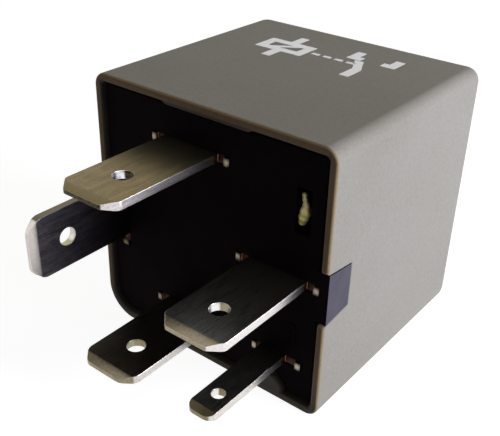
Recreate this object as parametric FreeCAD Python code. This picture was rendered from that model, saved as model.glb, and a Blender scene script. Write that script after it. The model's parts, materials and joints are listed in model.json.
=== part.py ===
import FreeCAD
import Part
import math
import os

from FreeCAD import Vector

# Automotive relay with five flat blades, lying on one flat side of its cover.
# Lengths are millimetres. While it is modelled, x runs across the mouth of the cover,
# y runs from the rim of the cover into it, and z is up. The finished pieces are moved
# along y, so that the origin is under the middle of the whole relay.

# Cover
cover_width = 27.0
cover_height = 26.9
cover_depth = 27.3
cover_wall = 0.8
cover_end_wall = 1.2
cover_edge_radius = 1.3
cover_key_radius = 3.4
cover_end_radius = 2.5

# Key rib inside the lower wall of the cover
rib_inset = 6.0
rib_width = 4.0
rib_rise = 1.6
rib_length = 8.0
rib_chamfer = 0.9
rib_clearance = 0.08

# Snap pad inside the upper wall of the cover, and the relief of the base under it
pad_x = 0.1
pad_width = 10.2
pad_rise = 0.25
pad_length = 3.0
pad_slope = 0.5
pad_clearance = 0.05

# Latch tabs of the base, flush in notches of the side walls
latch_drop = 0.45
latch_front_width = 5.3
latch_back_width = 4.4
latch_length = 3.8
latch_setback = 0.3
latch_clearance = 0.05

# Base
base_recess = 0.5
base_thickness = 4.0
base_clearance = 0.05
base_edge_chamfer = 0.3
slot_clearance = 0.03
tower_height = 2.4
tower_wall = 1.0
peg_radius = 0.9
peg_clearance = 0.05

# Vent slot through the base, and the sealing drop in it
vent_side_inset = 3.15
vent_top_inset = 6.6
vent_width = 1.5
vent_height = 4.3
drop_radius = 0.55
drop_top_radius = 0.38
drop_height = 3.2
drop_depth = 1.4

# Blades
blade_thickness = 0.8
blade_width = 6.3
blade_reach = 11.4
blade_hole_radius = 0.9
blade_hole_inset = 4.2
blade_corner_width = 1.1
blade_corner_length = 1.2
blade_bevel_length = 0.9
blade_bevel_depth = 0.2
coil_blade_extra = 0.7
coil_hole_extra = 0.3
narrow_width = 2.8
narrow_reach = 10.0
narrow_hole_radius = 0.65
narrow_hole_inset = 2.75
narrow_corner_radius = 0.9

# Shoulders of the terminals in the face of the base
notch_width = 0.8
notch_depth = 0.3
notch_corner_radius = 0.1
horn_width = 0.6
horn_proud = 0.2
narrow_shoulder_offset = 0.4

# Places of the terminals
left_blade_inset = 2.7
contact_column_inset = 5.5
coil_column_offset = -0.4
row_offset = 8.85
post_gap = 1.25

# Yoke
yoke_thickness = 1.6
yoke_bend_radius = 0.5
foot_past_core = 4.6
peg_inset = 1.2
peg_edge = 1.8

# Core
core_to_winding = 0.41
core_shoulder = 0.9
core_rivet_radius = 2.2
core_rivet_height = 0.5
core_rivet_clearance = 0.2
pole_overhang = 1.7
pole_thickness = 1.3
pole_chamfer = 0.25

# Bobbin and winding: the coil fills the room between the yoke and the contact terminals
end_room = 0.24
yoke_coil_gap = 0.85
stalk_coil_gap = 1.65
bobbin_bore_clearance = 0.05
bobbin_barrel_wall = 0.85
flange_thickness = 1.0
flange_corner_radius = 1.5
bobbin_clearance = 0.05
lip_clearance = 0.05
lip_thickness = 1.15
winding_inset = 0.2
winding_edge_radius = 0.3
winding_clearance = 0.05
wire_radius = 0.15
wrap_length = 1.0
wrap_thickness = 0.3
wrap_inset = 1.6

# Posts of the coil terminals
post_width = 2.0
post_offset = -2.2
post_length = 5.5

# Armature
armature_thickness = 1.4
armature_edge = 0.5
armature_past_pole = 1.2
armature_setback = 0.2
armature_heel_radius = 1.1
armature_nose_radius = 2.5
armature_gap = 0.05
open_angle = 3.0

# Contact spring
spring_thickness = 0.3
spring_edge = 1.5
spring_lap_gap = 0.95
spring_bend_radius = 0.8
spring_tongue_width = 4.2
spring_tongue_gap = 0.7

# Contacts
contact_shift = 0.2
tongue_edge = 0.35
contact_radius = 1.4
contact_height = 0.7
contact_crown = 0.15
contact_shank_radius = 0.7
contact_gap = 0.03
tongue_overhang = 1.8
fixed_radius = 1.5
fixed_height = 0.5
fixed_chamfer = 0.2
fixed_shank_radius = 0.75
fixed_upset_radius = 1.1
fixed_upset_height = 0.25

# Inner arms of the contact terminals
stalk_width = 3.6
narrow_stalk_width = 3.0
stalk_bend_radius = 0.4
shelf_margin = 0.4

# Rivets
armature_rivet_radius = 0.75
armature_rivet_head_radius = 1.3
armature_rivet_head_height = 0.5
armature_rivet_first = 5.6
armature_rivet_pitch = 5.2
yoke_rivet_radius = 0.8
yoke_rivet_head_radius = 1.3
yoke_rivet_head_height = 0.5
yoke_rivet_first = 3.0
yoke_rivet_pitch = 3.0
lap_width = 5.2
lap_margin = 1.6
rivet_clearance = 0.02

# How far a joined feature reaches into its neighbour, and a cut past a face
bite = 0.5
past = 1.0

# Places across the mouth that follow from the sizes above
middle_z = cover_height / 2
latch_z = middle_z - latch_drop
rib_x = cover_width / 2 - rib_inset
vent_x = cover_width / 2 - vent_side_inset
vent_z = cover_height - vent_top_inset
left_blade_x = left_blade_inset - cover_width / 2
contact_column_x = cover_width / 2 - contact_column_inset
contact_x = contact_column_x + contact_shift

# The magnet, from the yoke's outer face to the nose of the armature
yoke_x = left_blade_x + blade_thickness / 2
flange_left = yoke_x + yoke_thickness + yoke_coil_gap
flange_right = contact_x - stalk_width / 2 - stalk_coil_gap
flange_width = flange_right - flange_left
flange_height = 2 * (row_offset - blade_thickness / 2 - post_gap)
winding_radius = min(flange_width, flange_height) / 2 - winding_inset
core_radius = core_to_winding * winding_radius
core_spigot_radius = core_radius - core_shoulder
pole_radius = core_radius + pole_overhang
core_x = (flange_left + flange_right) / 2
coil_column_x = core_x + coil_column_offset
yoke_width = flange_height - 2 * (lip_clearance + lip_thickness)
foot_length = core_x + foot_past_core - yoke_x
peg_offset = yoke_width / 2 - peg_edge
armature_width = yoke_width - 2 * armature_edge
armature_length = core_x + pole_radius + armature_past_pole - yoke_x
spring_width = yoke_width - 2 * spring_edge
spring_tongue_start = armature_length + spring_tongue_gap
contact_z = middle_z + spring_width / 2 - spring_tongue_width / 2 - tongue_edge

# Places along the relay, built back from the closed end of the cover
base_back = base_recess + base_thickness
end_inner_y = cover_depth - cover_end_wall
foot_back = base_back + yoke_thickness
crown_radius = (contact_radius ** 2 + contact_crown ** 2) / (2 * contact_crown)
open_turn = math.radians(open_angle)
swing_rise = (contact_x - yoke_x) * math.sin(open_turn)
contact_rise_y = armature_gap + armature_thickness + spring_thickness + contact_height
lifted_rise = swing_rise + (contact_rise_y - crown_radius) * math.cos(open_turn) + crown_radius
resting_rise = lifted_rise + contact_gap
button_depth = fixed_height + blade_thickness + fixed_upset_height
pole_y = end_inner_y - end_room - button_depth - resting_rise
bobbin_length = pole_y - pole_thickness - bobbin_clearance - foot_back
lap_end_y = base_back + yoke_rivet_first + yoke_rivet_pitch + lap_margin
spring_leg = pole_y - lap_end_y - spring_lap_gap
armature_y = pole_y + armature_gap
spring_y = armature_y + armature_thickness
contact_low_y = spring_y - contact_height
contact_high_y = spring_y + spring_thickness + contact_height
coil_blade_reach = blade_reach + coil_blade_extra
coil_hole_inset = blade_hole_inset + coil_hole_extra
origin_y = (cover_depth - coil_blade_reach) / 2


def box(x0, x1, y0, y1, z0, z1):
    """A block between two corners."""
    return Part.makeBox(x1 - x0, y1 - y0, z1 - z0, Vector(x0, y0, z0))


def prism(points, along):
    """A flat outline pushed along a vector."""
    wire = Part.makePolygon(points + [points[0]])
    return Part.Face(wire).extrude(along)


def turned(profile, x, z):
    """A piece turned on an axis along y, from (radius, y) points."""
    points = [Vector(x + radius, y, z) for radius, y in profile]
    face = Part.Face(Part.makePolygon(points + [points[0]]))
    return face.revolve(Vector(x, 0, z), Vector(0, 1, 0), 360)


def rod(radius, start, along, length):
    return Part.makeCylinder(radius, length, start, along)


def edges_at(shape, x=None, y=None, z=None):
    """The edges whose ends all lie at the places given."""
    found = []
    for edge in shape.Edges:
        ends = [vertex.Point for vertex in edge.Vertexes]
        on_x = x is None or all(abs(end.x - x) < 0.001 for end in ends)
        on_y = y is None or all(abs(end.y - y) < 0.001 for end in ends)
        on_z = z is None or all(abs(end.z - z) < 0.001 for end in ends)
        if on_x and on_y and on_z and len(ends) == 2:
            found.append(edge)
    return found


def mouth_block(inset, y0, y1):
    """A block with the outline of the cover, smaller all round by an inset."""
    right = cover_width / 2 - inset
    top = cover_height - inset
    edge_radius = max(cover_edge_radius - inset, 0.2)
    key_radius = max(cover_key_radius - inset, 0.2)
    block = box(-right, right, y0, y1, inset, top)
    plain = edges_at(block, x=right, z=top)
    plain += edges_at(block, x=-right, z=top)
    plain += edges_at(block, x=right, z=inset)
    block = block.makeFillet(edge_radius, plain)
    return block.makeFillet(key_radius, edges_at(block, x=-right, z=inset))


def tilted(shape, angle=open_angle):
    """A piece of the armature turned about the outer edge of the yoke."""
    moved = shape.copy()
    moved.rotate(Vector(yoke_x, pole_y, middle_z), Vector(0, 0, 1), angle)
    return moved


# Cover: a thin cup with rounded corners, one of them wider as a key


def rib_profile(clearance):
    """The section of the key rib, with room round it for the base's notch."""
    half = rib_width / 2 + clearance
    low = cover_wall - cover_wall / 4
    top = cover_wall + rib_rise + clearance
    slope = rib_chamfer
    return [(rib_x - half, low), (rib_x - half, top - slope), (rib_x - half + slope, top),
            (rib_x + half - slope, top), (rib_x + half, top - slope), (rib_x + half, low)]


def rib_block(clearance, y0, y1):
    points = [Vector(x, y0, z) for x, z in rib_profile(clearance)]
    return prism(points, Vector(0, y1 - y0, 0))


def latch_block(side, inner_x, outer_x, clearance, y0):
    """The tapered block that fills one side's notch, or the notch itself."""
    taper = (latch_front_width - latch_back_width) / 2 / latch_length
    y1 = latch_length + clearance
    front = latch_front_width / 2 - taper * y0 + clearance
    back = latch_front_width / 2 - taper * y1 + clearance
    points = [Vector(side * inner_x, y0, latch_z - front), Vector(side * inner_x, y0, latch_z + front),
              Vector(side * inner_x, y1, latch_z + back), Vector(side * inner_x, y1, latch_z - back)]
    return prism(points, Vector(side * (outer_x - inner_x), 0, 0))


def snap_pad(clearance, y0):
    """The pad that the base snaps behind, or with a clearance the room for it."""
    half = pad_width / 2 + clearance
    low = cover_height - cover_wall - pad_rise - clearance
    high = cover_height - cover_wall / 2
    points = [Vector(pad_x - half, y0, high), Vector(pad_x - half, y0, low + pad_rise),
              Vector(pad_x - half + pad_slope, y0, low), Vector(pad_x + half - pad_slope, y0, low),
              Vector(pad_x + half, y0, low + pad_rise), Vector(pad_x + half, y0, high)]
    return prism(points, Vector(0, pad_length + clearance - y0, 0))


def cover():
    outside = mouth_block(0, 0, cover_depth)
    outside = outside.makeFillet(cover_end_radius, edges_at(outside, y=cover_depth))
    inside = mouth_block(cover_wall, 0, end_inner_y)
    end_radius = cover_end_radius - cover_end_wall
    inside = inside.makeFillet(end_radius, edges_at(inside, y=end_inner_y))
    inside = inside.fuse(mouth_block(cover_wall, -past, bite))
    shell = outside.cut(inside)
    shell = shell.fuse(rib_block(0, 0, rib_length)).fuse(snap_pad(0, 0))
    for side in (-1, 1):
        inner_x = cover_width / 2 - cover_wall - bite
        shell = shell.cut(latch_block(side, inner_x, cover_width / 2 + past, 0, -past))
    return shell.removeSplitter()


# Base: the plate in the mouth, with what is moulded on its two faces


def terminal_slot(x, z, width, vertical=False):
    """The slot in the base for one terminal's shoulders."""
    half_width = shoulder_half(width) + slot_clearance
    half_thickness = blade_thickness / 2 + slot_clearance
    half_x, half_z = (half_thickness, half_width) if vertical else (half_width, half_thickness)
    return box(x - half_x, x + half_x, base_recess - past, base_back + bite, z - half_z, z + half_z)


def shoulder_half(width):
    return width / 2 + notch_width + horn_width


def stalk_tower(x, z, width):
    """A raised collar on the back of the base, round a contact terminal's arm."""
    half_x = width / 2 + tower_wall
    half_z = blade_thickness / 2 + tower_wall
    inner_x = width / 2 + slot_clearance
    inner_z = blade_thickness / 2 + slot_clearance
    top = base_back + tower_height
    tower = box(x - half_x, x + half_x, base_back, top, z - half_z, z + half_z)
    tower = tower.makeChamfer(tower_wall / 3, edges_at(tower, y=top))
    return tower.cut(box(x - inner_x, x + inner_x, base_back - past, top + past, z - inner_z, z + inner_z))


def base():
    plate = mouth_block(cover_wall + base_clearance, base_recess, base_back)
    plate = plate.makeChamfer(base_edge_chamfer, edges_at(plate, y=base_recess))
    plate = plate.cut(snap_pad(pad_clearance, -past))
    for side in (-1, 1):
        inner_x = cover_width / 2 - cover_wall - bite
        plate = plate.fuse(latch_block(side, inner_x, cover_width / 2, -latch_clearance, latch_setback))
    plate = plate.cut(rib_block(rib_clearance, -past, base_back + past))
    plate = plate.fuse(stalk_tower(contact_x, middle_z, stalk_width))
    plate = plate.fuse(stalk_tower(contact_x, middle_z - row_offset, narrow_stalk_width))
    for z in (middle_z + row_offset, middle_z - row_offset):
        plate = plate.cut(terminal_slot(coil_column_x, z, blade_width))
    plate = plate.cut(terminal_slot(contact_column_x, middle_z, blade_width))
    plate = plate.cut(terminal_slot(contact_column_x + narrow_shoulder_offset, middle_z - row_offset,
                                    narrow_width))
    plate = plate.cut(terminal_slot(left_blade_x, middle_z, blade_width, vertical=True))
    pocket_radius = core_rivet_radius + core_rivet_clearance
    pocket_depth = core_rivet_height + core_rivet_clearance
    plate = plate.cut(rod(pocket_radius, Vector(core_x, base_back - pocket_depth, middle_z),
                          Vector(0, 1, 0), pocket_depth + past))
    plate = plate.cut(vent_slot())
    for z in (middle_z - peg_offset, middle_z + peg_offset):
        peg = rod(peg_radius, Vector(peg_x(), base_back - bite, z), Vector(0, 1, 0), yoke_thickness + bite)
        plate = plate.fuse(peg)
    return plate.removeSplitter()


def peg_x():
    return yoke_x + foot_length - peg_inset


def vent_slot():
    return box(vent_x - vent_width / 2, vent_x + vent_width / 2, base_recess - past, base_back + past,
               vent_z - vent_height / 2, vent_z + vent_height / 2)


def resin_drop():
    """An uneven drop of sealing resin, stuck to one wall of the vent slot."""
    x = vent_x - vent_width / 2 + drop_radius
    low = vent_z - drop_height / 2 + drop_radius
    high = vent_z + drop_height / 2 - drop_top_radius
    y = base_recess + drop_radius
    drop = Part.makeSphere(drop_radius, Vector(x, y, low))
    drop = drop.fuse(Part.makeSphere(drop_top_radius, Vector(x, y, high)))
    neck = Part.makeCone(drop_radius, drop_top_radius, high - low, Vector(x, y, low), Vector(0, 0, 1))
    drop = drop.fuse(neck)
    drop = drop.fuse(rod(drop_top_radius, Vector(x, y, vent_z), Vector(0, 1, 0), drop_depth))
    return drop.common(vent_slot()).removeSplitter()


# Terminals: stamped flat strip, modelled lying flat with its width along x


def flat_hole(x, y, radius):
    """A round hole through flat strip."""
    return rod(radius, Vector(x, y, -blade_thickness), Vector(0, 0, 1), 2 * blade_thickness)


def blade(width, reach, hole_radius, hole_inset, rounded=False):
    """The part of a terminal that stands out of the base."""
    half = width / 2
    back = base_recess
    low = -blade_thickness / 2
    up = Vector(0, 0, blade_thickness)
    if rounded:
        strip = prism([Vector(-half, back, low), Vector(-half, -reach, low),
                       Vector(half, -reach, low), Vector(half, back, low)], up)
        corners = edges_at(strip, x=-half, y=-reach) + edges_at(strip, x=half, y=-reach)
        strip = strip.makeFillet(narrow_corner_radius, corners)
    else:
        side_end = -reach + blade_corner_length
        tip_half = half - blade_corner_width
        strip = prism([Vector(-half, back, low), Vector(-half, side_end, low),
                       Vector(-tip_half, -reach, low), Vector(tip_half, -reach, low),
                       Vector(half, side_end, low), Vector(half, back, low)], up)
    strip = strip.cut(flat_hole(0, -reach + hole_inset, hole_radius))
    for face in (-1, 1):
        outer = face * blade_thickness / 2
        inner = face * (blade_thickness / 2 - blade_bevel_depth)
        wedge = prism([Vector(-width, -reach, outer), Vector(-width, -reach, inner),
                       Vector(-width, -reach + blade_bevel_length, outer)], Vector(2 * width, 0, 0))
        strip = strip.cut(wedge)
    return strip


def shoulder(width, offset):
    """The wide part in the base, with a shallow notch between the blade and each horn."""
    half = shoulder_half(width)
    front = base_recess - horn_proud
    floor = front + notch_depth
    thick = blade_thickness / 2
    plate = box(offset - half, offset + half, front, base_back, -thick, thick)
    for side in (-1, 1):
        outer_x = offset + side * half
        near, far = sorted((side * width / 2, outer_x - side * horn_width))
        notch = box(near, far, front - past, floor, -blade_thickness, blade_thickness)
        notch = notch.makeFillet(notch_corner_radius, edges_at(notch, x=near, y=floor)
                                 + edges_at(notch, x=far, y=floor))
        plate = plate.cut(notch)
        plate = plate.makeFillet(horn_width / 3, edges_at(plate, x=outer_x, y=front))
    return plate


def tab_terminal(width, reach, hole_radius, hole_inset, rounded=False, shoulder_offset=0):
    """A blade with its shoulders, which may stand off the middle of the blade."""
    strip = blade(width, reach, hole_radius, hole_inset, rounded)
    root = box(-width / 2, width / 2, 0, base_back, -blade_thickness / 2, blade_thickness / 2)
    return strip.fuse(root).fuse(shoulder(width, shoulder_offset))


def coil_terminal(reach, hole_inset, z):
    """A coil terminal, with a notched post for the wire behind the base."""
    strip = tab_terminal(blade_width, reach, blade_hole_radius, hole_inset)
    thick = blade_thickness / 2
    post_top = base_back + post_length
    post = box(post_offset - post_width / 2, post_offset + post_width / 2,
               base_back - bite, post_top, -thick, thick)
    post = post.makeChamfer(post_width / 5, edges_at(post, x=post_offset - post_width / 2, y=post_top)
                            + edges_at(post, x=post_offset + post_width / 2, y=post_top))
    strip = strip.fuse(post)
    strip.translate(Vector(coil_column_x, 0, z))
    return strip.removeSplitter()


def terminal_30():
    """The common terminal, whose lap is riveted to the yoke's long leg."""
    strip = tab_terminal(blade_width, blade_reach, blade_hole_radius, blade_hole_inset)
    thick = blade_thickness / 2
    lap = box(-lap_width / 2, lap_width / 2, base_back - bite, lap_end_y, -thick, thick)
    corners = edges_at(lap, x=-lap_width / 2, y=lap_end_y) + edges_at(lap, x=lap_width / 2, y=lap_end_y)
    lap = lap.makeFillet(lap_margin / 2, corners)
    strip = strip.fuse(lap)
    for y in yoke_rivet_places():
        strip = strip.cut(flat_hole(0, y, yoke_rivet_radius + rivet_clearance))
    strip.rotate(Vector(0, 0, 0), Vector(0, 1, 0), 90)
    strip.translate(Vector(left_blade_x, 0, middle_z))
    return strip.removeSplitter()


def yoke_rivet_places():
    first = base_back + yoke_rivet_first
    return [first, first + yoke_rivet_pitch]


def contact_arm(x, width, z, shelf_y0, shelf_end_z):
    """A stalk up from the base that folds over into a shelf for a contact."""
    thick = blade_thickness / 2
    shelf_y1 = shelf_y0 + blade_thickness
    start_y = base_back - bite
    outline = [Vector(x - width / 2, y, height) for y, height in
               ((start_y, z - thick), (shelf_y1, z - thick), (shelf_y1, shelf_end_z),
                (shelf_y0, shelf_end_z), (shelf_y0, z + thick), (start_y, z + thick))]
    arm = prism(outline, Vector(width, 0, 0))
    arm = arm.makeFillet(stalk_bend_radius, edges_at(arm, y=shelf_y0, z=z + thick))
    outer_radius = stalk_bend_radius + blade_thickness
    arm = arm.makeFillet(outer_radius, edges_at(arm, y=shelf_y1, z=z - thick))
    hole = rod(fixed_shank_radius + rivet_clearance, Vector(contact_x, shelf_y0 - past, contact_z),
               Vector(0, 1, 0), blade_thickness + 2 * past)
    return arm.cut(hole)


def terminal_87():
    """The working terminal, with its shelf under the moving contact."""
    strip = tab_terminal(blade_width, blade_reach, blade_hole_radius, blade_hole_inset)
    strip.translate(Vector(contact_column_x, 0, middle_z))
    shelf_end = contact_z + fixed_radius + shelf_margin
    arm = contact_arm(contact_x, stalk_width, middle_z, working_face() - fixed_height - blade_thickness,
                      shelf_end)
    return strip.fuse(arm).removeSplitter()


def terminal_87a():
    """The resting terminal, narrow outside, with its shelf above the moving contact."""
    strip = tab_terminal(narrow_width, narrow_reach, narrow_hole_radius, narrow_hole_inset,
                         rounded=True, shoulder_offset=narrow_shoulder_offset)
    z = middle_z - row_offset
    strip.translate(Vector(contact_column_x, 0, z))
    shelf_end = contact_z + fixed_radius + shelf_margin
    arm = contact_arm(contact_x, narrow_stalk_width, z, resting_face() + fixed_height, shelf_end)
    return strip.fuse(arm).removeSplitter()


# Contacts


def working_face():
    """Height of the working contact's face, just under the closed moving contact."""
    return contact_low_y - contact_gap


def resting_face():
    """Height of the resting contact's face, just over the open moving contact."""
    return pole_y + resting_rise


def crown(top_y, direction):
    """The arc of one crowned face, from the rivet's axis to the edge of the head."""
    def point(radius):
        drop = crown_radius - math.sqrt(crown_radius ** 2 - radius ** 2)
        return Vector(contact_x + radius, top_y - direction * drop, contact_z)
    return Part.Arc(point(0), point(contact_radius / 2), point(contact_radius)).toShape()


def moving_contact():
    """A rivet through the spring, with a crowned head on each side."""
    corners = [(contact_radius, contact_low_y + contact_crown), (contact_radius, spring_y),
               (contact_shank_radius, spring_y), (contact_shank_radius, spring_y + spring_thickness),
               (contact_radius, spring_y + spring_thickness),
               (contact_radius, contact_high_y - contact_crown)]
    side = Part.makePolygon([Vector(contact_x + radius, y, contact_z) for radius, y in corners])
    axis = Part.makeLine(Vector(contact_x, contact_high_y, contact_z),
                         Vector(contact_x, contact_low_y, contact_z))
    outline = side.Edges + [crown(contact_low_y, -1), crown(contact_high_y, 1), axis]
    face = Part.Face(Part.Wire(Part.__sortEdges__(outline)))
    return tilted(face.revolve(Vector(contact_x, 0, contact_z), Vector(0, 1, 0), 360))


def fixed_contact(face_y, direction):
    """A button whose face looks along direction, riveted through its shelf."""
    profile = [(0, 0), (fixed_radius - fixed_chamfer, 0), (fixed_radius, fixed_chamfer),
               (fixed_radius, fixed_height),
               (fixed_shank_radius, fixed_height), (fixed_shank_radius, fixed_height + blade_thickness),
               (fixed_upset_radius, fixed_height + blade_thickness),
               (fixed_upset_radius, fixed_height + blade_thickness + fixed_upset_height),
               (0, fixed_height + blade_thickness + fixed_upset_height)]
    placed = [(radius, face_y - direction * depth) for radius, depth in profile]
    return turned(placed, contact_x, contact_z)


# Magnet: yoke, core, bobbin and winding


def yoke():
    """A bent iron strip: the foot lies on the base, the long leg stands beside the coil."""
    low_z = middle_z - yoke_width / 2
    inner_x = yoke_x + yoke_thickness
    foot_x = yoke_x + foot_length
    outline = [Vector(yoke_x, base_back, low_z), Vector(foot_x, base_back, low_z),
               Vector(foot_x, foot_back, low_z), Vector(inner_x, foot_back, low_z),
               Vector(inner_x, pole_y, low_z), Vector(yoke_x, pole_y, low_z)]
    strip = prism(outline, Vector(0, 0, yoke_width))
    strip = strip.makeFillet(yoke_bend_radius, edges_at(strip, x=inner_x, y=foot_back))
    strip = strip.makeFillet(yoke_bend_radius + yoke_thickness, edges_at(strip, x=yoke_x, y=base_back))
    strip = strip.cut(rod(core_spigot_radius + rivet_clearance, Vector(core_x, base_back - past, middle_z),
                          Vector(0, 1, 0), yoke_thickness + 2 * past))
    for z in (middle_z - peg_offset, middle_z + peg_offset):
        strip = strip.cut(rod(peg_radius + peg_clearance, Vector(peg_x(), base_back - past, z),
                              Vector(0, 1, 0), yoke_thickness + 2 * past))
    for y in yoke_rivet_places():
        strip = strip.cut(rod(yoke_rivet_radius + rivet_clearance, Vector(yoke_x - past, y, middle_z),
                              Vector(1, 0, 0), yoke_thickness + 2 * past))
    return strip


def core():
    """A turned pin with a wide pole at the armature and a riveted end at the foot."""
    pole_back = pole_y - pole_thickness
    rivet_y = base_back - core_rivet_height
    profile = [(0, rivet_y), (core_rivet_radius, rivet_y), (core_rivet_radius, base_back),
               (core_spigot_radius, base_back), (core_spigot_radius, foot_back),
               (core_radius, foot_back), (core_radius, pole_back), (pole_radius, pole_back),
               (pole_radius, pole_y - pole_chamfer), (pole_radius - pole_chamfer, pole_y), (0, pole_y)]
    return turned(profile, core_x, middle_z)


def flange(y0):
    half_width = flange_width / 2
    half_height = flange_height / 2
    plate = box(core_x - half_width, core_x + half_width, y0, y0 + flange_thickness,
                middle_z - half_height, middle_z + half_height)
    corners = []
    for x in (core_x - half_width, core_x + half_width):
        for z in (middle_z - half_height, middle_z + half_height):
            corners += edges_at(plate, x=x, z=z)
    return plate.makeFillet(flange_corner_radius, corners)


def barrel_radius():
    return core_radius + bobbin_bore_clearance + bobbin_barrel_wall


def bobbin():
    """A moulded reel, whose two lips grip the sides of the yoke's foot."""
    reel = flange(foot_back).fuse(flange(foot_back + bobbin_length - flange_thickness))
    reel = reel.fuse(rod(barrel_radius(), Vector(core_x, foot_back, middle_z), Vector(0, 1, 0),
                         bobbin_length))
    lip_inner = yoke_width / 2 + lip_clearance
    lip_half = flange_width / 2 - flange_corner_radius
    for side in (-1, 1):
        z0, z1 = sorted((middle_z + side * lip_inner, middle_z + side * flange_height / 2))
        reel = reel.fuse(box(core_x - lip_half, core_x + lip_half, base_back + lip_clearance,
                             foot_back + flange_thickness / 2, z0, z1))
    reel = reel.cut(rod(core_radius + bobbin_bore_clearance, Vector(core_x, base_back, middle_z),
                        Vector(0, 1, 0), bobbin_length + yoke_thickness + past))
    return reel.removeSplitter()


def wire_wrap(z, side):
    """The end of the wire: out of the winding, and wound round its terminal's post."""
    x = coil_column_x + post_offset
    y = base_back + post_length - wrap_inset
    hole_x = post_width / 2 + winding_clearance
    hole_z = blade_thickness / 2 + winding_clearance
    outer_x = hole_x + wrap_thickness
    outer_z = hole_z + wrap_thickness
    wrap = box(x - outer_x, x + outer_x, y - wrap_length / 2, y + wrap_length / 2, z - outer_z, z + outer_z)
    wrap = wrap.cut(box(x - hole_x, x + hole_x, y - wrap_length, y + wrap_length, z - hole_z, z + hole_z))
    surface = math.sqrt(winding_radius ** 2 - (x - core_x) ** 2)
    start_z = middle_z + side * (surface - 2 * wire_radius)
    end_z = z - side * (outer_z - wrap_thickness / 2)
    start = Vector(x, y, start_z)
    return wrap.fuse(rod(wire_radius, start, Vector(0, 0, side), abs(end_z - start_z)))


def coil_winding():
    """The copper winding between the flanges, with its two ends on the coil terminals."""
    y0 = foot_back + flange_thickness + winding_clearance
    y1 = foot_back + bobbin_length - flange_thickness - winding_clearance
    inner = barrel_radius() + winding_clearance
    soft = winding_edge_radius
    profile = [(inner, y0), (winding_radius - soft, y0), (winding_radius, y0 + soft),
               (winding_radius, y1 - soft), (winding_radius - soft, y1), (inner, y1)]
    winding = turned(profile, core_x, middle_z)
    winding = winding.fuse(wire_wrap(middle_z + row_offset, 1))
    return winding.fuse(wire_wrap(middle_z - row_offset, -1)).removeSplitter()


# Armature, its spring and the rivets


def armature():
    """A flat iron flap on the yoke's edge, drawn to the pole when current flows."""
    x0 = yoke_x + armature_setback
    x1 = yoke_x + armature_length
    half = armature_width / 2
    plate = box(x0, x1, armature_y, spring_y, middle_z - half, middle_z + half)
    nose = edges_at(plate, x=x1, z=middle_z - half) + edges_at(plate, x=x1, z=middle_z + half)
    plate = plate.makeFillet(armature_nose_radius, nose)
    plate = plate.makeFillet(armature_heel_radius, edges_at(plate, x=x0, y=spring_y))
    for x in armature_rivet_places():
        start = Vector(x, armature_y - past, middle_z)
        plate = plate.cut(rod(armature_rivet_radius + rivet_clearance, start, Vector(0, 1, 0),
                              armature_thickness + 2 * past))
    return tilted(plate)


def armature_rivet_places():
    first = yoke_x + armature_rivet_first
    return [first, first + armature_rivet_pitch]


def contact_spring():
    """A bent leaf: its leg is welded to the yoke, its long arm is riveted to the armature."""
    along = Vector(math.cos(open_turn), math.sin(open_turn), 0)
    across = Vector(-math.sin(open_turn), math.cos(open_turn), 0)
    heel = Vector(yoke_x, pole_y, middle_z - spring_width / 2)
    rise = spring_y - pole_y
    reach = contact_x + tongue_overhang - yoke_x
    inner_corner = heel + Vector(0, rise / math.cos(open_turn), 0)
    outer_rise = (rise + spring_thickness - spring_thickness * math.sin(open_turn)) / math.cos(open_turn)
    outer_corner = heel + Vector(-spring_thickness, outer_rise, 0)
    outline = [heel + Vector(0, -spring_leg, 0), inner_corner,
               heel + along * reach + across * rise,
               heel + along * reach + across * (rise + spring_thickness),
               outer_corner, heel + Vector(-spring_thickness, -spring_leg, 0)]
    leaf = prism(outline, Vector(0, 0, spring_width))
    leaf = leaf.makeFillet(spring_bend_radius, edges_at(leaf, x=inner_corner.x, y=inner_corner.y))
    leaf = leaf.makeFillet(spring_bend_radius + spring_thickness,
                           edges_at(leaf, x=outer_corner.x, y=outer_corner.y))
    return leaf.cut(spring_waste()).removeSplitter()


def spring_waste():
    """What is cut from the leaf to leave a narrow tongue, and its rivet holes."""
    y0 = spring_y - past
    y1 = spring_y + spring_thickness + past
    start = yoke_x + spring_tongue_start
    slope = spring_width / 4
    end = contact_x + tongue_overhang + past
    tongue = spring_tongue_width / 2
    low = middle_z - spring_width / 2 - past
    high = middle_z + spring_width / 2 + past
    below = prism([Vector(start - slope, y0, low), Vector(start, y0, contact_z - tongue),
                   Vector(end, y0, contact_z - tongue), Vector(end, y0, low)], Vector(0, y1 - y0, 0))
    above = prism([Vector(start - slope, y0, high), Vector(start, y0, contact_z + tongue),
                   Vector(end, y0, contact_z + tongue), Vector(end, y0, high)], Vector(0, y1 - y0, 0))
    waste = below.fuse(above)
    for x in armature_rivet_places():
        waste = waste.fuse(rod(armature_rivet_radius + rivet_clearance, Vector(x, y0, middle_z),
                               Vector(0, 1, 0), y1 - y0))
    waste = waste.fuse(rod(contact_shank_radius + rivet_clearance, Vector(contact_x, y0, contact_z),
                           Vector(0, 1, 0), y1 - y0))
    return tilted(waste)


def armature_rivets():
    """Two rivets, flush under the armature, with their heads on the spring."""
    head_y = spring_y + spring_thickness
    rivets = []
    for x in armature_rivet_places():
        profile = [(0, armature_y), (armature_rivet_radius, armature_y), (armature_rivet_radius, head_y),
                   (armature_rivet_head_radius, head_y),
                   (armature_rivet_head_radius * 0.7, head_y + armature_rivet_head_height),
                   (0, head_y + armature_rivet_head_height)]
        rivets.append(tilted(turned(profile, x, middle_z)))
    return Part.makeCompound(rivets)


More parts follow.
